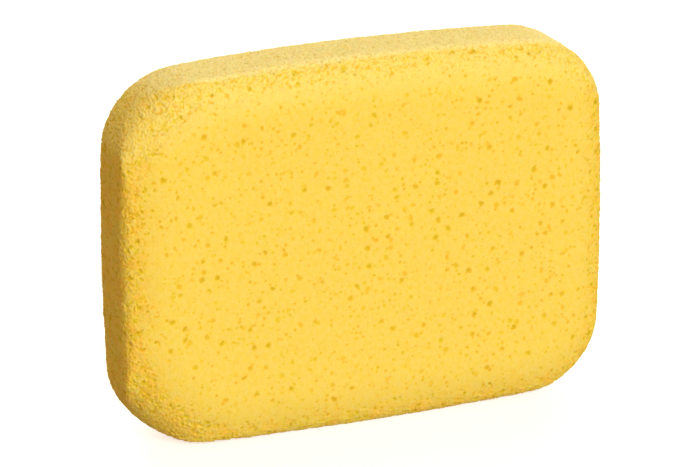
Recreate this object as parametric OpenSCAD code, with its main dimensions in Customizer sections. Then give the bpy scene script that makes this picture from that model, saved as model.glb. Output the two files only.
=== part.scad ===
// Grouting sponge: one block of open-cell foam with a round-cornered outline,
// a flat working face, a soft lip round that face and a fuller round at the back.
// It stands on a long edge: X runs end to end, Y through the thickness with the
// working face towards -Y, and Z up from the edge that it stands on.

/* [Block] */
// Overall length, end to end
block_w = 190; // [150:1:230]
// Overall height, foot edge to top edge
block_h = 142; // [110:1:180]
// Thickness, working face to back face
block_t = 42; // [38:1:60]

/* [Outline] */
// Radius of the four corners, seen from the front
corner_r = 27.5; // [22:0.5:45]

/* [Edge section] */
// Radius of the gentle roll-off near the rim of the working face
roll_r = 40; // [32:1:44]
// Angle that the roll-off turns through before the lip takes over
roll_deg = 24; // [16:1:25]
// Radius of the tight lip round the working face
lip_r = 6; // [3:0.5:7]
// Radius round the back face
back_r = 16; // [8:0.5:18]

/* [Hidden] */
$fn = 240;

// Width and depth of the rounded band at the working face
roll_w = lip_r + (roll_r - lip_r) * sin(roll_deg);
roll_drop = roll_r - (roll_r - lip_r) * cos(roll_deg);

// Half the distance between the corners' centres, along and up the block
mid_w = block_w / 2 - corner_r;
mid_h = block_h / 2 - corner_r;

// Section through the rim: x runs out from the corners' centre line to the
// outline, and y is the thickness, up to the working face
module rim_section() {
    face = block_t / 2;
    roll_start = [corner_r - roll_w, face];
    roll_end = roll_start + [roll_r * sin(roll_deg), roll_r * cos(roll_deg) - roll_r];
    roll_apex = roll_start + [roll_r * tan(roll_deg / 2), 0];
    polygon([
        [0, -face],
        [corner_r - back_r, -face],
        [corner_r, back_r - face],
        [corner_r, face - roll_drop],
        roll_end,
        roll_start,
        [0, face]
    ]);
    // the tight lip
    translate([corner_r - lip_r, face - roll_drop])
        circle(lip_r);
    // what the roll-off adds outside its chord
    intersection() {
        translate([corner_r - roll_w, face - roll_r])
            circle(roll_r);
        polygon([roll_start, roll_end, roll_apex]);
    }
    // what the back round adds outside its chord
    intersection() {
        translate([corner_r - back_r, back_r - face])
            circle(back_r);
        translate([corner_r - back_r, -face])
            square(back_r);
    }
}

// The rim round one corner, about the corner's centre
module corner_rim() {
    rotate_extrude(angle = 90)
        rim_section();
}

// The rim along one straight side, from the corners' centre line outwards
module side_rim(length) {
    rotate([90, 0, 0])
        linear_extrude(length, center = true)
            rim_section();
}

// The block lying on its back, middle at the origin, working face up
module lying_block() {
    cube([2 * mid_w, 2 * mid_h, block_t], center = true);
    for (turn = [0, 180])
        rotate(turn) {
            translate([mid_w, 0, 0])
                side_rim(2 * mid_h);
            translate([0, mid_h, 0])
                rotate(90)
                    side_rim(2 * mid_w);
            translate([mid_w, mid_h, 0])
                corner_rim();
            translate([-mid_w, mid_h, 0])
                rotate(90)
                    corner_rim();
        }
}

module sponge_block() {
    color("#fbd455")
        translate([0, 0, block_h / 2])
            rotate([90, 0, 0])
                lying_block();
}

sponge_block();
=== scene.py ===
import bpy
import bmesh
import math
from mathutils import Matrix, Vector


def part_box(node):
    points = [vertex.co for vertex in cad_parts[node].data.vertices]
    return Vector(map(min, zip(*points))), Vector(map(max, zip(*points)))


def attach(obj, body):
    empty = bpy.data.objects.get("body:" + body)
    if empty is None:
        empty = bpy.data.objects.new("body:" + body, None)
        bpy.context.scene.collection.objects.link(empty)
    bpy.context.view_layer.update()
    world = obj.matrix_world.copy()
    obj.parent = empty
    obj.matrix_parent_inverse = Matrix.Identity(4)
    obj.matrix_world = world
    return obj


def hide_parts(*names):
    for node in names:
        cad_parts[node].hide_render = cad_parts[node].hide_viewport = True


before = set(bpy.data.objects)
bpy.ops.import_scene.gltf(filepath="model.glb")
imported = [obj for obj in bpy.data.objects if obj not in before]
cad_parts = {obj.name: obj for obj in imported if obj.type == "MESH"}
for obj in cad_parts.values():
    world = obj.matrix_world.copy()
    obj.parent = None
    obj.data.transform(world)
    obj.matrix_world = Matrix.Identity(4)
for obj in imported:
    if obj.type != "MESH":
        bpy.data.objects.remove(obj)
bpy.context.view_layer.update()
nodeLow, nodeHigh = [Vector(corner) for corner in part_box("sponge_block")]
print("frame loaded")

cameraSettings = {
    "azimuth": -22.34,      # degrees round the sponge, from straight in front
    "elevation": 18.83,     # degrees above the horizon
    "roll": -0.36,          # degrees
    "distance": 1.581,      # metres from the aim point
    "lens": 220.2,          # mm
    "sensor": 36,           # mm
    "aside": -0.0006,       # metres, the aim point moved along the view's right
    "lift": -0.0017,        # metres, the aim point moved along the view's up
}


def makeCamera(settings, low, high):
    around = math.radians(settings["azimuth"])
    above = math.radians(settings["elevation"])
    roll = math.radians(settings["roll"])
    level = math.cos(above)
    back = Vector((math.sin(around) * level, -math.cos(around) * level, math.sin(above)))
    levelRight = Vector((math.cos(around), math.sin(around), 0))
    levelUp = back.cross(levelRight)
    right = math.cos(roll) * levelRight + math.sin(roll) * levelUp
    up = math.cos(roll) * levelUp - math.sin(roll) * levelRight
    aim = (low + high) / 2 + settings["aside"] * right + settings["lift"] * up
    data = bpy.data.cameras.new("viewCamera")
    data.sensor_width = settings["sensor"]
    data.lens = settings["lens"]
    camera = bpy.data.objects.new("viewCamera", data)
    turn = Matrix((right, up, back)).transposed().to_4x4()
    camera.matrix_world = Matrix.Translation(aim + back * settings["distance"]) @ turn
    bpy.context.scene.collection.objects.link(camera)
    bpy.context.scene.camera = camera


makeCamera(cameraSettings, nodeLow, nodeHigh)
print("camera placed")


def addNode(tree, kind, inputs=None, **settings):
    node = tree.nodes.new(kind)
    for name, value in settings.items():
        setattr(node, name, value)
    for key, value in (inputs or {}).items():
        if isinstance(value, bpy.types.NodeSocket):
            tree.links.new(value, node.inputs[key])
        else:
            node.inputs[key].default_value = value
    return node


def maths(tree, operation, *values):
    inputs = dict(enumerate(values))
    return addNode(tree, "ShaderNodeMath", inputs, operation=operation).outputs[0]


def vectorMaths(tree, operation, *values):
    inputs = dict(enumerate(values))
    return addNode(tree, "ShaderNodeVectorMath", inputs, operation=operation).outputs[0]


def scaled(tree, vector, factor):
    inputs = {0: vector, "Scale": factor}
    return addNode(tree, "ShaderNodeVectorMath", inputs, operation="SCALE").outputs[0]


# A smooth change from startOut, where the value is start, to endOut, where it is end.
def ramp(tree, value, start, end, startOut=0.0, endOut=1.0):
    inputs = {
        "Value": value,
        "From Min": start,
        "From Max": end,
        "To Min": startOut,
        "To Max": endOut,
    }
    return addNode(tree, "ShaderNodeMapRange", inputs, interpolation_type="SMOOTHSTEP").outputs[0]


def noise(tree, place, scale, detail):
    inputs = {"Vector": place, "Scale": scale, "Detail": detail}
    return addNode(tree, "ShaderNodeTexNoise", inputs).outputs[0]


# Noise that swings evenly to either side of zero.
def swing(tree, place, scale, detail):
    return maths(tree, "MULTIPLY_ADD", noise(tree, place, scale, detail), 2.0, -1.0)


def mixColours(tree, factor, first, second):
    inputs = {0: factor, 6: first, 7: second}
    return addNode(tree, "ShaderNodeMix", inputs, data_type="RGBA").outputs[2]


def separate(tree, vector):
    return addNode(tree, "ShaderNodeSeparateXYZ", {0: vector}).outputs


def addSockets(tree, way, sockets):
    for name, kind, value in sockets:
        socket = tree.interface.new_socket(name, in_out=way, socket_type="NodeSocket" + kind)
        if value is not None:
            socket.default_value = value


# The block, in metres: a rolled front edge with a tight lip, rounder back edges, and four bowed sides.
blockShape = {
    "edgeRoll": 0.040,              # radius that the working face rolls off with
    "rollDegrees": 24,              # how far the roll turns before the lip
    "lip": 0.006,                   # tight radius between the roll and the sides
    "softLip": 0.021,               # the same radius where a corner is worn softest
    "backRound": 0.016,             # radius of the back's edges
    "topRight": (0.0270, 0.1),      # each corner's radius in the outline, and how worn it is
    "topLeft": (0.0286, 0.6),
    "bottomLeft": (0.0263, 0.85),
    "bottomRight": (0.0272, 0.0),
    "wearFocus": 1.5,               # how closely the wear keeps to the middle of a corner
    "bowEnds": 0.0020,              # how far the ends pull in towards their corners
    "bowTop": 0.0042,
    "bowFoot": 0.0029,
    "skinSpacing": 0.00033,         # size of the finished mesh's faces
    "rollSteps": 12,                # how finely each curve is first drawn
    "lipSteps": 14,
    "backSteps": 24,
    "cornerSteps": 32,
    "sideSteps": 48,
}


# The edge from the working face round to the back, as inset from the side and place through the depth.
def edgeSection(shape, depth, lip):
    roll, back = shape["edgeRoll"], shape["backRound"]
    rollSteps, lipSteps, backSteps = shape["rollSteps"], shape["lipSteps"], shape["backSteps"]
    turn = math.radians(shape["rollDegrees"])
    rollWidth = lip + (roll - lip) * math.sin(turn)
    rollDrop = roll - (roll - lip) * math.cos(turn)
    section = []
    for step in range(rollSteps + 1):
        t = turn * step / rollSteps
        section.append((rollWidth - roll * math.sin(t), -depth / 2 + roll - roll * math.cos(t)))
    for step in range(1, lipSteps + 1):
        t = turn + (math.pi / 2 - turn) * step / lipSteps
        section.append((lip - lip * math.sin(t), -depth / 2 + rollDrop - lip * math.cos(t)))
    for step in range(backSteps + 1):
        t = math.pi / 2 * (1 + step / backSteps)
        section.append((back - back * math.sin(t), depth / 2 - back - back * math.cos(t)))
    return section


# One turn round the block. Each point carries how far it follows the worn edge instead of the tight one.
def outlineRing(shape, width, height, sideInset, cornerInset):
    corners = (
        (1, 1, "topRight"),
        (-1, 1, "topLeft"),
        (-1, -1, "bottomLeft"),
        (1, -1, "bottomRight"),
    )
    cornerSteps, sideSteps = shape["cornerSteps"], shape["sideSteps"]
    arcs = []
    for number, (sideX, sideZ, corner) in enumerate(corners):
        radius, worn = shape[corner]
        reach = radius - sideInset + worn * (cornerInset - sideInset) / (math.sqrt(2) - 1)
        centreX = sideX * (width / 2 - sideInset - reach)
        centreZ = sideZ * (height / 2 - sideInset - reach)
        arc = []
        for step in range(cornerSteps + 1):
            t = math.pi / 2 * (number + step / cornerSteps)
            bend = worn * math.sin(math.pi * step / cornerSteps) ** shape["wearFocus"]
            arc.append((centreX + reach * math.cos(t), centreZ + reach * math.sin(t), bend))
        arcs.append(arc)
    ring = []
    for number, arc in enumerate(arcs):
        ring += arc
        start, end = Vector(arc[-1]), Vector(arcs[(number + 1) % len(arcs)][0])
        ring += [tuple(start.lerp(end, step / sideSteps)) for step in range(1, sideSteps)]
    return ring


def bowed(shape, x, z, width, height):
    across, along = x / (width / 2), z / (height / 2)
    rise = shape["bowTop"] if z > 0 else shape["bowFoot"]
    return x - across * shape["bowEnds"] * along ** 2, z - along * rise * across ** 2


def makeBlock(shape, low, high):
    width, depth, height = high - low
    block = bmesh.new()
    rings = []
    sideSection = edgeSection(shape, depth, shape["lip"])
    cornerSection = edgeSection(shape, depth, shape["softLip"])
    for (sideInset, sideY), (cornerInset, cornerY) in zip(sideSection, cornerSection):
        ring = []
        for x, z, bend in outlineRing(shape, width, height, sideInset, cornerInset):
            x, z = bowed(shape, x, z, width, height)
            y = sideY + (cornerY - sideY) * bend
            ring.append(block.verts.new((x, y, z + height / 2)))
        rings.append(ring)
    count = len(rings[0])
    for ring, following in zip(rings, rings[1:]):
        for number in range(count):
            after = (number + 1) % count
            block.faces.new((ring[number], ring[after], following[after], following[number]))
    for ring, y in ((rings[0], -depth / 2), (rings[-1], depth / 2)):
        middle = block.verts.new((0, y, height / 2))
        for number in range(count):
            block.faces.new((ring[number], ring[(number + 1) % count], middle))
    bmesh.ops.recalc_face_normals(block, faces=block.faces)
    mesh = bpy.data.meshes.new("foamBlock")
    block.to_mesh(mesh)
    block.free()
    piece = bpy.data.objects.new("foamBlock", mesh)
    bpy.context.scene.collection.objects.link(piece)
    remesh = piece.modifiers.new("evenSkin", "REMESH")
    remesh.mode = "VOXEL"
    remesh.voxel_size = shape["skinSpacing"]
    remesh.use_smooth_shade = True
    return piece


# The cut cells, in metres. Each size has its spacing, its share of open cells, its radii and its depth.
# These are the inputs of the block's Geometry Nodes.
foamCells = {
    "Large Cell": 0.0090,
    "Large Share": 0.10,
    "Large Smallest": 0.0010,
    "Large Largest": 0.0015,
    "Large Depth": 0.00040,
    "Medium Cell": 0.0036,
    "Medium Share": 0.95,
    "Medium Smallest": 0.00085,
    "Medium Largest": 0.00160,
    "Medium Depth": 0.00030,
    "Small Cell": 0.0021,
    "Small Share": 0.90,
    "Small Smallest": 0.00060,
    "Small Largest": 0.00104,
    "Small Depth": 0.00022,
    "Rim Share": 0.10,          # how many more cells are open where the edges were cut
    "Rim Tear": 1.3,            # how much deeper they are there
    "Granule": 0.00090,         # size of the torn granules round the edges
    "Granule Height": 0.00032,
    "Grain": 0.00010,           # height of the finest unevenness
    "Grain Scale": 1300.0,      # and how many waves of it there are in a metre
    "Sway": 0.00025,            # slow unevenness of the cut faces
    "Sway Scale": 45.0,
    "Ragged": 0.00035,          # unevenness of the cut edges
    "Ragged Scale": 280.0,
    "Strut Density": 300000.0,  # torn struts for each square metre of cut edge
    "Strut Length": 0.00060,
    "Seed": 7.0,
}
cellShape = {
    "warp": 0.55,               # how far a cell strays from round, as a share of the spacing
    "warpScale": 2.2,
    "lean": 0.3,                # where a cell's wall ends and its floor begins, as a share of its radius
    "faintest": 0.2,            # depth of the shallowest cells, as a share of the deepest
    "seedStep": 11.3,           # keeps the three sizes apart
}
foamEdges = {
    "rimBand": (0.998, 0.90),   # how squarely a face looks front or back, from flat face to cut edge
    "tearBand": (-0.05, 0.30, 1.0, 0.1),    # how far it looks up, then how torn it is at each end
    "granuleMiddle": 0.45,      # where a granule is level with the skin
    "strutLean": 0.6,           # radians
    "strutTurn": 6.28,
    "thinStrut": (0.25, 0.25, 0.30),        # as shares of the strut length
    "thickStrut": (0.50, 0.50, 0.65),
}


def makeCellPits(shape):
    group = bpy.data.node_groups.new("cellPits", "GeometryNodeTree")
    addSockets(group, "INPUT", [
        ("Position", "Vector", (0, 0, 0)),
        ("Cell", "Float", 0.004),
        ("Share", "Float", 0.5),
        ("Smallest", "Float", 0.0005),
        ("Largest", "Float", 0.0010),
        ("Warp", "Float", shape["warp"]),
        ("Seed", "Float", 1.0),
    ])
    addSockets(group, "OUTPUT", [("Pit", "Float", None)])
    given = group.nodes.new("NodeGroupInput").outputs
    place = scaled(group, given["Position"], maths(group, "DIVIDE", 1.0, given["Cell"]))
    shift = addNode(group, "ShaderNodeCombineXYZ", {0: given["Seed"], 1: 3.7, 2: given["Seed"]})
    place = vectorMaths(group, "ADD", place, shift.outputs[0])
    inputs = {"Vector": place, "Scale": shape["warpScale"], "Detail": 2.0}
    drift = addNode(group, "ShaderNodeTexNoise", inputs)
    wander = vectorMaths(group, "SUBTRACT", drift.outputs["Color"], (0.5, 0.5, 0.5))
    place = vectorMaths(group, "ADD", place, scaled(group, wander, given["Warp"]))
    cells = addNode(group, "ShaderNodeTexVoronoi", {"Vector": place, "Scale": 1.0})
    draws = separate(group, cells.outputs["Color"])
    chosen = maths(group, "LESS_THAN", draws[0], given["Share"])
    spread = maths(group, "SUBTRACT", given["Largest"], given["Smallest"])
    fewLarge = maths(group, "POWER", draws[1], 2.0)
    radius = maths(group, "MULTIPLY_ADD", fewLarge, spread, given["Smallest"])
    radius = maths(group, "DIVIDE", radius, given["Cell"])
    floorEdge = maths(group, "MULTIPLY", radius, shape["lean"])
    pit = ramp(group, cells.outputs["Distance"], radius, floorEdge)
    fewDeep = maths(group, "POWER", draws[2], 2.0)
    faintest = shape["faintest"]
    strength = maths(group, "MULTIPLY_ADD", fewDeep, 1.0 - faintest, faintest)
    pit = maths(group, "MULTIPLY", pit, maths(group, "MULTIPLY", chosen, strength))
    result = group.nodes.new("NodeGroupOutput")
    group.links.new(pit, result.inputs["Pit"])
    return group


def makeFoamSkin(settings, cells, edges, material):
    pits = makeCellPits(cells)
    tree = bpy.data.node_groups.new("foamSkin", "GeometryNodeTree")
    addSockets(tree, "INPUT", [("Geometry", "Geometry", None)])
    addSockets(tree, "INPUT", [(name, "Float", value) for name, value in settings.items()])
    addSockets(tree, "OUTPUT", [("Geometry", "Geometry", None)])
    given = tree.nodes.new("NodeGroupInput").outputs
    place = tree.nodes.new("GeometryNodeInputPosition").outputs[0]
    normal = tree.nodes.new("GeometryNodeInputNormal").outputs[0]
    facing = separate(tree, normal)
    rim = ramp(tree, maths(tree, "ABSOLUTE", facing[1]), *edges["rimBand"])
    torn = maths(tree, "MULTIPLY", rim, ramp(tree, facing[2], *edges["tearBand"]))
    tear = maths(tree, "MULTIPLY_ADD", torn, given["Rim Tear"], 1.0)
    depth = 0.0
    for number, size in enumerate(("Large", "Medium", "Small")):
        pit = addNode(tree, "GeometryNodeGroup", node_tree=pits)
        share = given[size + " Share"]
        if size == "Small":
            share = maths(tree, "MULTIPLY_ADD", rim, given["Rim Share"], share)
        seed = maths(tree, "ADD", given["Seed"], cells["seedStep"] * number)
        wiring = {"Position": place, "Share": share, "Seed": seed}
        for name in ("Cell", "Smallest", "Largest"):
            wiring[name] = given[size + " " + name]
        for name, socket in wiring.items():
            tree.links.new(socket, pit.inputs[name])
        deep = maths(tree, "MULTIPLY", pit.outputs[0], given[size + " Depth"])
        depth = maths(tree, "MAXIMUM", depth, deep)
    depth = maths(tree, "MULTIPLY", depth, tear)
    fine = swing(tree, place, given["Grain Scale"], 1.0)
    fine = maths(tree, "MULTIPLY", fine, maths(tree, "MULTIPLY", tear, given["Grain"]))
    slow = maths(tree, "MULTIPLY", swing(tree, place, given["Sway Scale"], 1.0), given["Sway"])
    ragged = swing(tree, place, given["Ragged Scale"], 2.0)
    ragged = maths(tree, "MULTIPLY", ragged, maths(tree, "MULTIPLY", rim, given["Ragged"]))
    slow = maths(tree, "ADD", slow, ragged)
    granules = addNode(tree, "ShaderNodeTexVoronoi", {"Vector": place})
    tree.links.new(maths(tree, "DIVIDE", 1.0, given["Granule"]), granules.inputs["Scale"])
    valley = maths(tree, "SUBTRACT", granules.outputs["Distance"], edges["granuleMiddle"])
    valley = maths(tree, "MULTIPLY", maths(tree, "MULTIPLY", valley, 2.0), rim)
    valley = maths(tree, "MULTIPLY", valley, given["Granule Height"])
    fall = maths(tree, "ADD", depth, valley)
    rise = maths(tree, "SUBTRACT", maths(tree, "ADD", fine, slow), fall)
    depth = maths(tree, "MULTIPLY_ADD", valley, 0.5, depth)
    geometry = given["Geometry"]
    # The finish reads these: how deep a point lies in a cell, how far it is on the rim, how it faces.
    for name, value in (("cellDepth", depth), ("rimWear", rim), ("upward", facing[2])):
        inputs = {"Geometry": geometry, "Name": name}
        keep = addNode(tree, "GeometryNodeStoreNamedAttribute", inputs,
                       data_type="FLOAT", domain="POINT")
        tree.links.new(value, keep.inputs["Value"])
        geometry = keep.outputs[0]
    inputs = {"Geometry": geometry, "Offset": scaled(tree, normal, rise)}
    foam = addNode(tree, "GeometryNodeSetPosition", inputs).outputs[0]
    # Nothing goes below the floor.
    x, y, z = separate(tree, place)
    inputs = {0: x, 1: y, 2: maths(tree, "MAXIMUM", z, 0.0)}
    standing = addNode(tree, "ShaderNodeCombineXYZ", inputs)
    inputs = {"Geometry": foam, "Position": standing.outputs[0]}
    foam = addNode(tree, "GeometryNodeSetPosition", inputs).outputs[0]
    struts = addStruts(tree, given, edges, foam)
    joined = tree.nodes.new("GeometryNodeJoinGeometry")
    tree.links.new(struts, joined.inputs[0])
    tree.links.new(foam, joined.inputs[0])
    whole = addNode(tree, "GeometryNodeRealizeInstances", {"Geometry": joined.outputs[0]})
    inputs = {"Geometry": whole.outputs[0], "Material": material}
    coated = addNode(tree, "GeometryNodeSetMaterial", inputs)
    result = tree.nodes.new("NodeGroupOutput")
    tree.links.new(coated.outputs[0], result.inputs["Geometry"])
    return tree


# Small closed grains, half sunk in the cut edges.
def addStruts(tree, given, edges, foam):
    inputs = {"Name": "rimWear"}
    wear = addNode(tree, "GeometryNodeInputNamedAttribute", inputs, data_type="FLOAT")
    place = tree.nodes.new("GeometryNodeInputPosition").outputs[0]
    clear = maths(tree, "GREATER_THAN", separate(tree, place)[2], given["Strut Length"])
    density = maths(tree, "MULTIPLY", wear.outputs[0], given["Strut Density"])
    density = maths(tree, "MULTIPLY", density, clear)
    inputs = {"Mesh": foam, "Density": density, "Seed": 3}
    points = addNode(tree, "GeometryNodeDistributePointsOnFaces", inputs)
    strut = addNode(tree, "GeometryNodeMeshIcoSphere", {"Radius": 1.0, "Subdivisions": 1})
    lean = edges["strutLean"]
    inputs = {0: (-lean, -lean, 0.0), 1: (lean, lean, edges["strutTurn"]), "Seed": 4}
    tilt = addNode(tree, "FunctionNodeRandomValue", inputs, data_type="FLOAT_VECTOR")
    inputs = {0: points.outputs["Rotation"], 1: tilt.outputs[0]}
    turn = addNode(tree, "FunctionNodeRotateRotation", inputs, rotation_space="LOCAL")
    inputs = {0: edges["thinStrut"], 1: edges["thickStrut"], "Seed": 5}
    size = addNode(tree, "FunctionNodeRandomValue", inputs, data_type="FLOAT_VECTOR")
    size = scaled(tree, size.outputs[0], given["Strut Length"])
    placed = addNode(tree, "GeometryNodeInstanceOnPoints", {
        "Points": points.outputs[0],
        "Instance": strut.outputs[0],
        "Rotation": turn.outputs[0],
        "Scale": size,
    })
    return placed.outputs[0]


def socketOf(tree, name):
    for item in tree.interface.items_tree:
        if item.item_type == "SOCKET" and item.in_out == "INPUT" and item.name == name:
            return item.identifier


def setInputs(modifier, tree, settings):
    modifier.node_group = tree
    for name, value in settings.items():
        modifier[socketOf(tree, name)] = value


def makePlain(piece):
    depsgraph = bpy.context.evaluated_depsgraph_get()
    mesh = bpy.data.meshes.new_from_object(piece.evaluated_get(depsgraph))
    mesh.name = piece.name
    piece.modifiers.clear()
    piece.data = mesh


# The foam's colours, with painted shade in its cells and on its cut edges and a painted sheen where it
# looks up. A layer has the waves of its noise in a metre, their detail, and a band.
# A band says where a change starts and ends, then how strong it is at the start and at the end.
foamFinish = {
    "skin": (0.855, 0.672, 0.130, 1),
    "shade": (0.848, 0.653, 0.092, 1),          # the skin's darker mottle
    "hollowShade": (0.80, 0.600, 0.018, 1),          # painted shade in shallow cells
    "deepHollowShade": (0.84, 0.520, 0.024, 1),      # painted shade, the warmer ones among them
    "cell": (0.65, 0.445, 0.005, 1),            # painted shade in deep cells and in the finest spots
    "warmShade": (0.94, 0.53, 0.052, 1),             # painted shade, warmer, in random patches round the cut edges
    "paintedSheen": (0.93, 0.86, 0.385, 1),             # painted sheen, a pale highlight where the foam looks up
    "mottleLayer": (480.0, 3.0, (0.38, 0.62, 0.0, 1.0)),
    "patchLayer": (260.0, 2.0, (0.46, 0.66, 0.0, 0.65)),
    "blotchLayer": (110.0, 2.0, (0.42, 0.66, 0.05, 0.45)),
    "paintedSheenLayer": (700.0, 2.0, (0.35, 0.65, 0.75, 1.0)),
    "tintLayer": (160.0, 1.0, (0.40, 0.62, 0.0, 1.0)),
    "warmShadeBand": (0.0, 0.35, 1.0, 0.1),          # painted shade by how far the foam looks up
    "rollPaintedSheen": (0.05, 0.35, 0.0, 0.28),        # painted sheen by how far it looks up, on the roll
    "topPaintedSheen": (0.70, 0.95, 0.0, 0.64),         # and the painted sheen added on top
    "paintedSheenCover": 0.75,                          # how far the painted sheen hides the cells' painted shade
    "hollowShadeBand": (0.00001, 0.00010),           # painted shade of shallow cells, by depth, metres
    "hollowShadeStrength": 0.85,
    "cellShadeBand": (0.00005, 0.00034),             # painted shade of deep cells, by depth, metres
    "spotScale": 1100.0,                        # the finest spots, small pores painted dark in the deep cells' shade
    "spotShare": 0.30,
    "spotBand": (0.45, 0.15, 0.0, 0.25),        # by distance from a spot's middle
    "roughness": (0.82, 0.95),
    "grainScale": 1900.0,
    "grainHeight": 0.0002,                      # metres
    "grainStrength": 0.5,
    "softness": 0.5,                            # subsurface weight
    "reach": 0.003,                             # how far light travels inside, metres
    "reachTint": (1.0, 0.55, 0.15),
    "shine": 0.2,
    "sheen": 0.04,
    "sheenRoughness": 0.6,
    "sheenTint": (1.0, 0.92, 0.7, 1),
}


def layer(tree, place, settings):
    scale, detail, band = settings
    return ramp(tree, noise(tree, place, scale, detail), *band)


def attribute(tree, name):
    return addNode(tree, "ShaderNodeAttribute", attribute_name=name).outputs["Fac"]


def makeFoamMaterial(finish):
    material = bpy.data.materials.new("yellowFoam")
    material.use_nodes = True
    tree = material.node_tree
    surface = tree.nodes["Principled BSDF"]
    fixed = {
        "Subsurface Weight": finish["softness"],
        "Subsurface Radius": finish["reachTint"],
        "Subsurface Scale": finish["reach"],
        "Specular IOR Level": finish["shine"],
        "Sheen Weight": finish["sheen"],
        "Sheen Roughness": finish["sheenRoughness"],
        "Sheen Tint": finish["sheenTint"],
    }
    for name, value in fixed.items():
        surface.inputs[name].default_value = value
    place = tree.nodes.new("ShaderNodeTexCoord").outputs["Object"]
    depth = attribute(tree, "cellDepth")
    rim = attribute(tree, "rimWear")
    upward = attribute(tree, "upward")
    mottle = layer(tree, place, finish["mottleLayer"])
    colour = mixColours(tree, mottle, finish["skin"], finish["shade"])
    # Painted shade: the cut edges take a warmer colour in random patches, most where they look least
    # upward.
    warmShadePatch = layer(tree, place, finish["patchLayer"])
    warmShadePatch = maths(tree, "MAXIMUM", warmShadePatch, layer(tree, place, finish["blotchLayer"]))
    warmShadeMask = maths(tree, "MULTIPLY", rim, ramp(tree, upward, *finish["warmShadeBand"]))
    warmShadePatch = maths(tree, "MULTIPLY", warmShadePatch, warmShadeMask)
    colour = mixColours(tree, warmShadePatch, colour, finish["warmShade"])
    # Painted sheen: a pale highlight in random specks on what looks up, on the roll and on top.
    onRoll = ramp(tree, upward, *finish["rollPaintedSheen"])
    onTop = ramp(tree, upward, *finish["topPaintedSheen"])
    paintedSheenMask = maths(tree, "ADD", onRoll, onTop)
    paintedSheenMask = maths(tree, "MULTIPLY", paintedSheenMask, layer(tree, place, finish["paintedSheenLayer"]))
    colour = mixColours(tree, paintedSheenMask, colour, finish["paintedSheen"])
    # Painted shade in the shallow cells: a colour by depth in two random tints, weaker where the painted
    # sheen lies.
    shallow = maths(tree, "MULTIPLY_ADD", paintedSheenMask, -finish["paintedSheenCover"], finish["hollowShadeStrength"])
    shallow = maths(tree, "MULTIPLY", ramp(tree, depth, *finish["hollowShadeBand"]), shallow)
    tint = layer(tree, place, finish["tintLayer"])
    tint = mixColours(tree, tint, finish["hollowShade"], finish["deepHollowShade"])
    colour = mixColours(tree, shallow, colour, tint)
    # Painted shade: the deep cells darken by depth, and the finest spots are painted as dark pores, less
    # where the painted sheen lies.
    inputs = {"Vector": place, "Scale": finish["spotScale"]}
    fine = addNode(tree, "ShaderNodeTexVoronoi", inputs).outputs
    chosen = maths(tree, "LESS_THAN", separate(tree, fine["Color"])[0], finish["spotShare"])
    spot = maths(tree, "MULTIPLY", ramp(tree, fine["Distance"], *finish["spotBand"]), chosen)
    cut = maths(tree, "MAXIMUM", ramp(tree, depth, *finish["cellShadeBand"]), spot)
    clearOfSheen = maths(tree, "MULTIPLY_ADD", paintedSheenMask, -finish["paintedSheenCover"], 1.0)
    cut = maths(tree, "MULTIPLY", cut, clearOfSheen)
    colour = mixColours(tree, cut, colour, finish["cell"])
    tree.links.new(colour, surface.inputs["Base Color"])
    roughness = ramp(tree, mottle, 0.0, 1.0, *finish["roughness"])
    tree.links.new(roughness, surface.inputs["Roughness"])
    height = maths(tree, "SUBTRACT", noise(tree, place, finish["grainScale"], 3.0), spot)
    inputs = {
        "Height": height,
        "Distance": finish["grainHeight"],
        "Strength": finish["grainStrength"],
    }
    bump = addNode(tree, "ShaderNodeBump", inputs)
    tree.links.new(bump.outputs[0], surface.inputs["Normal"])
    return material


foamBlock = makeBlock(blockShape, nodeLow, nodeHigh)
foamSkin = makeFoamSkin(foamCells, cellShape, foamEdges, makeFoamMaterial(foamFinish))
setInputs(foamBlock.modifiers.new("cutCells", "NODES"), foamSkin, foamCells)
makePlain(foamBlock)
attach(foamBlock, "root")
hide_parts("sponge_block")
print("foam block made:", len(foamBlock.data.polygons), "faces")

# The lamps stand at these places and point at the block's middle. A sun's place only gives its direction.
studio = {
    "roomColour": (1.0, 0.645, 0.250, 1),
    "sky": 0.495,                       # strength of the room's light from above the horizon
    "ground": 0.31,                     # and from below it
    "horizon": 0.25,                    # how far to either side of the horizon they blend
    "key": 2.82,                        # the three suns' strengths
    "keyFrom": (0.07, -1.0, 0.33),
    "over": 0.71,
    "overFrom": (0.1, 0.6, 1.0),
    "behind": 2.2,
    "behindFrom": (0.35, 1.0, 0.14),
    "sunSpread": 50,                    # degrees, how wide each sun is
    "top": 0.30,                        # watts
    "topFrom": (0.05, -0.70, 0.42),
    "topSize": 0.30,                    # metres
    "floorColour": (0.93, 0.93, 0.93, 1),
    "floorRoughness": 0.9,
    "floorGlow": 0.60,
    "floorRadius": 14,                  # metres
    "floorSides": 96,
}
white = (1, 1, 1, 1)


def addLamp(name, kind, energy, place, aim):
    data = bpy.data.lights.new(name, kind)
    data.energy = energy
    lamp = bpy.data.objects.new(name, data)
    lamp.location = place
    lamp.rotation_euler = (aim - Vector(place)).to_track_quat("-Z", "Y").to_euler()
    bpy.context.scene.collection.objects.link(lamp)
    return data


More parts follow.
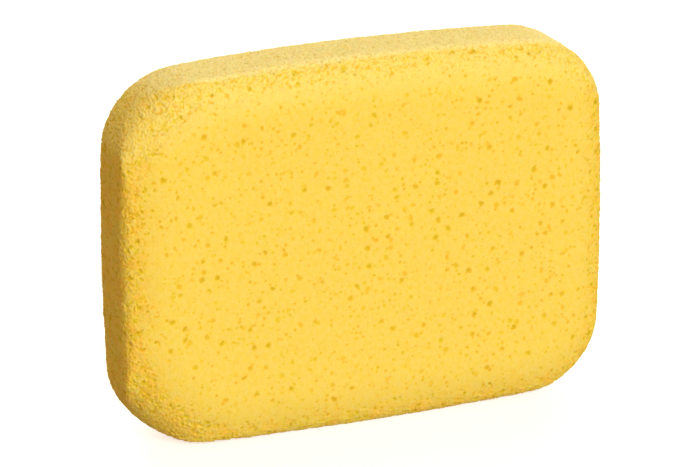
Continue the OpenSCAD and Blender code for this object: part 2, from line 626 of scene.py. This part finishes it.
def makeFloor(settings):
    disc = bmesh.new()
    radius, sides = settings["floorRadius"], settings["floorSides"]
    bmesh.ops.create_circle(disc, cap_ends=True, radius=radius, segments=sides)
    mesh = bpy.data.meshes.new("floor")
    disc.to_mesh(mesh)
    disc.free()
    floor = bpy.data.objects.new("floor", mesh)
    bpy.context.scene.collection.objects.link(floor)
    material = bpy.data.materials.new("paleFloor")
    material.use_nodes = True
    surface = material.node_tree.nodes["Principled BSDF"]
    surface.inputs["Base Color"].default_value = settings["floorColour"]
    surface.inputs["Roughness"].default_value = settings["floorRoughness"]
    surface.inputs["Emission Color"].default_value = white
    surface.inputs["Emission Strength"].default_value = settings["floorGlow"]
    mesh.materials.append(material)
    floor.visible_diffuse = False


def makeRoom(settings):
    world = bpy.data.worlds.new("paleRoom")
    world.use_nodes = True
    bpy.context.scene.world = world
    tree = world.node_tree
    background = tree.nodes["Background"]
    direction = tree.nodes.new("ShaderNodeTexCoord").outputs["Generated"]
    height = separate(tree, direction)[2]
    horizon = settings["horizon"]
    level = ramp(tree, height, -horizon, horizon, settings["ground"], settings["sky"])
    # The camera itself sees plain white beyond the floor.
    seen = tree.nodes.new("ShaderNodeLightPath").outputs["Is Camera Ray"]
    level = addNode(tree, "ShaderNodeMix", {0: seen, 2: level, 3: 1.0}).outputs[0]
    tree.links.new(level, background.inputs["Strength"])
    colour = mixColours(tree, seen, settings["roomColour"], white)
    tree.links.new(colour, background.inputs["Color"])


middle = (nodeLow + nodeHigh) / 2
keyLamp = addLamp("keyLamp", "SUN", studio["key"], studio["keyFrom"], middle)
topLamp = addLamp("topLamp", "AREA", studio["top"], studio["topFrom"], middle)
topLamp.shape = "DISK"
topLamp.size = studio["topSize"]
overLamp = addLamp("overLamp", "SUN", studio["over"], studio["overFrom"], middle)
backLamp = addLamp("backLamp", "SUN", studio["behind"], studio["behindFrom"], middle)
for sun in (keyLamp, overLamp, backLamp):
    sun.angle = math.radians(studio["sunSpread"])
makeFloor(studio)
makeRoom(studio)
bpy.context.scene.view_settings.view_transform = "Standard"
print("studio lit")
